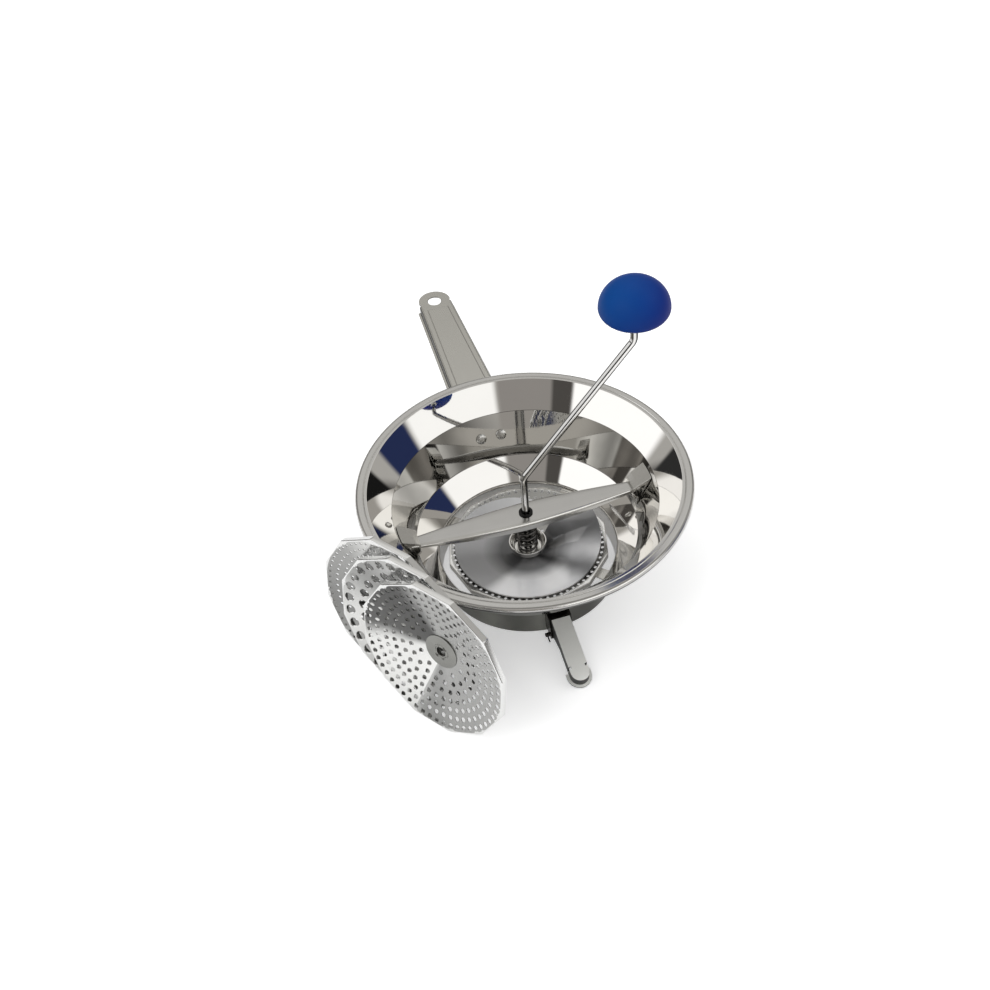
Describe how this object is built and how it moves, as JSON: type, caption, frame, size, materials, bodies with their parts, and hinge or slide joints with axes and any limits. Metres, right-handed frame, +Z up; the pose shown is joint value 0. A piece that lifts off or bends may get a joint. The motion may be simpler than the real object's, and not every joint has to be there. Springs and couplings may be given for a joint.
{
  "type": "food mill",
  "caption": "Hand-cranked food mill: flared steel bowl with long handle, folding leg and cross bar, a sprung rotor blade over a perforated disc, a blue crank knob, and spare discs.",
  "frame": {"origin": "on the table under the middle of the outline's bounding box; the outlet neck and the spare discs stand on it", "axes": "+Z up along the crank shaft, +Y towards the handle's tip, +X along the cross bar towards the knob at rest"},
  "size_m": [0.3522, 0.5512, 0.3076],
  "materials": {
    "bowl_steel": "polished stainless steel",
    "handle_steel": "polished stainless steel",
    "rivet_steel": "bright rivet heads",
    "bracket_steel": "satin pressed steel",
    "leg_steel": "polished pressed steel",
    "pin_steel": "drawn wire",
    "lug_steel": "satin pressed steel",
    "bar_steel": "satin with bright rolled edges",
    "clip_steel": "satin pressed steel",
    "bush_black": "dark bearing ring",
    "disc_steel": "satin perforated sheet",
    "hub_steel": "rolled washer",
    "rod_chrome": "bright drawn rod",
    "rotor_steel": "mirror polished sheet",
    "spring_steel": "dark spring wire",
    "washer_steel": "plain washer",
    "knob_blue": "glossy deep blue plastic"
  },
  "bodies": {
    "mill": {"bowl": "bowl_steel", "handle": "handle_steel", "handle_rivet_right": "rivet_steel", "handle_rivet_left": "rivet_steel", "leg_bracket": "bracket_steel", "bracket_rivet_lower": "rivet_steel", "bracket_rivet_upper": "rivet_steel", "leg_hinge_pin": "pin_steel", "leg_pin_cotter": "pin_steel", "seat_lug_1": "lug_steel", "seat_lug_2": "lug_steel", "seat_lug_3": "lug_steel", "seat_lug_4": "lug_steel", "cross_bar": "bar_steel", "bar_clip_right": "clip_steel", "bar_clip_left": "clip_steel", "bar_bush": "bush_black", "fitted_disc": "disc_steel", "fitted_disc_hub": "hub_steel", "medium_disc": "disc_steel", "medium_disc_hub": "hub_steel", "coarse_disc": "disc_steel", "coarse_disc_hub": "hub_steel", "fine_disc": "disc_steel", "fine_disc_hub": "hub_steel", "spring_top_washer": "washer_steel", "pressure_spring": "spring_steel"},
    "lift": {"spring_seat_washer": "washer_steel"},
    "rotor": {"crank_rod": "rod_chrome", "rotor_boss": "rotor_steel", "rotor_blade": "rotor_steel", "knob_collar": "pin_steel", "knob_push_nut": "pin_steel"},
    "knob": {"knob": "knob_blue"},
    "leg": {"folding_leg": "leg_steel"}
  },
  "joints": [
    {"name": "rotor_lift", "type": "slide", "parent": "mill", "child": "lift", "axis": [0, 0, 1], "range_m": [0, 0.006], "stiffness_N_per_m": 1200, "springref_m": -0.005, "deforming": ["pressure_spring"]},
    {"name": "crank_spin", "type": "hinge", "parent": "lift", "child": "rotor", "pos_m": [0.02098, -0.06945, 0.02], "axis": [0, 0, 1], "continuous": true},
    {"name": "knob_spin", "type": "hinge", "parent": "rotor", "child": "knob", "pos_m": [0.12748, -0.06945, 0.2855], "axis": [0, 0, 1], "continuous": true},
    {"name": "leg_fold", "type": "hinge", "parent": "mill", "child": "leg", "pos_m": [0.02098, -0.16695, 0.0088], "axis": [1, 0, 0], "range_deg": [0, 130]}
  ]
}
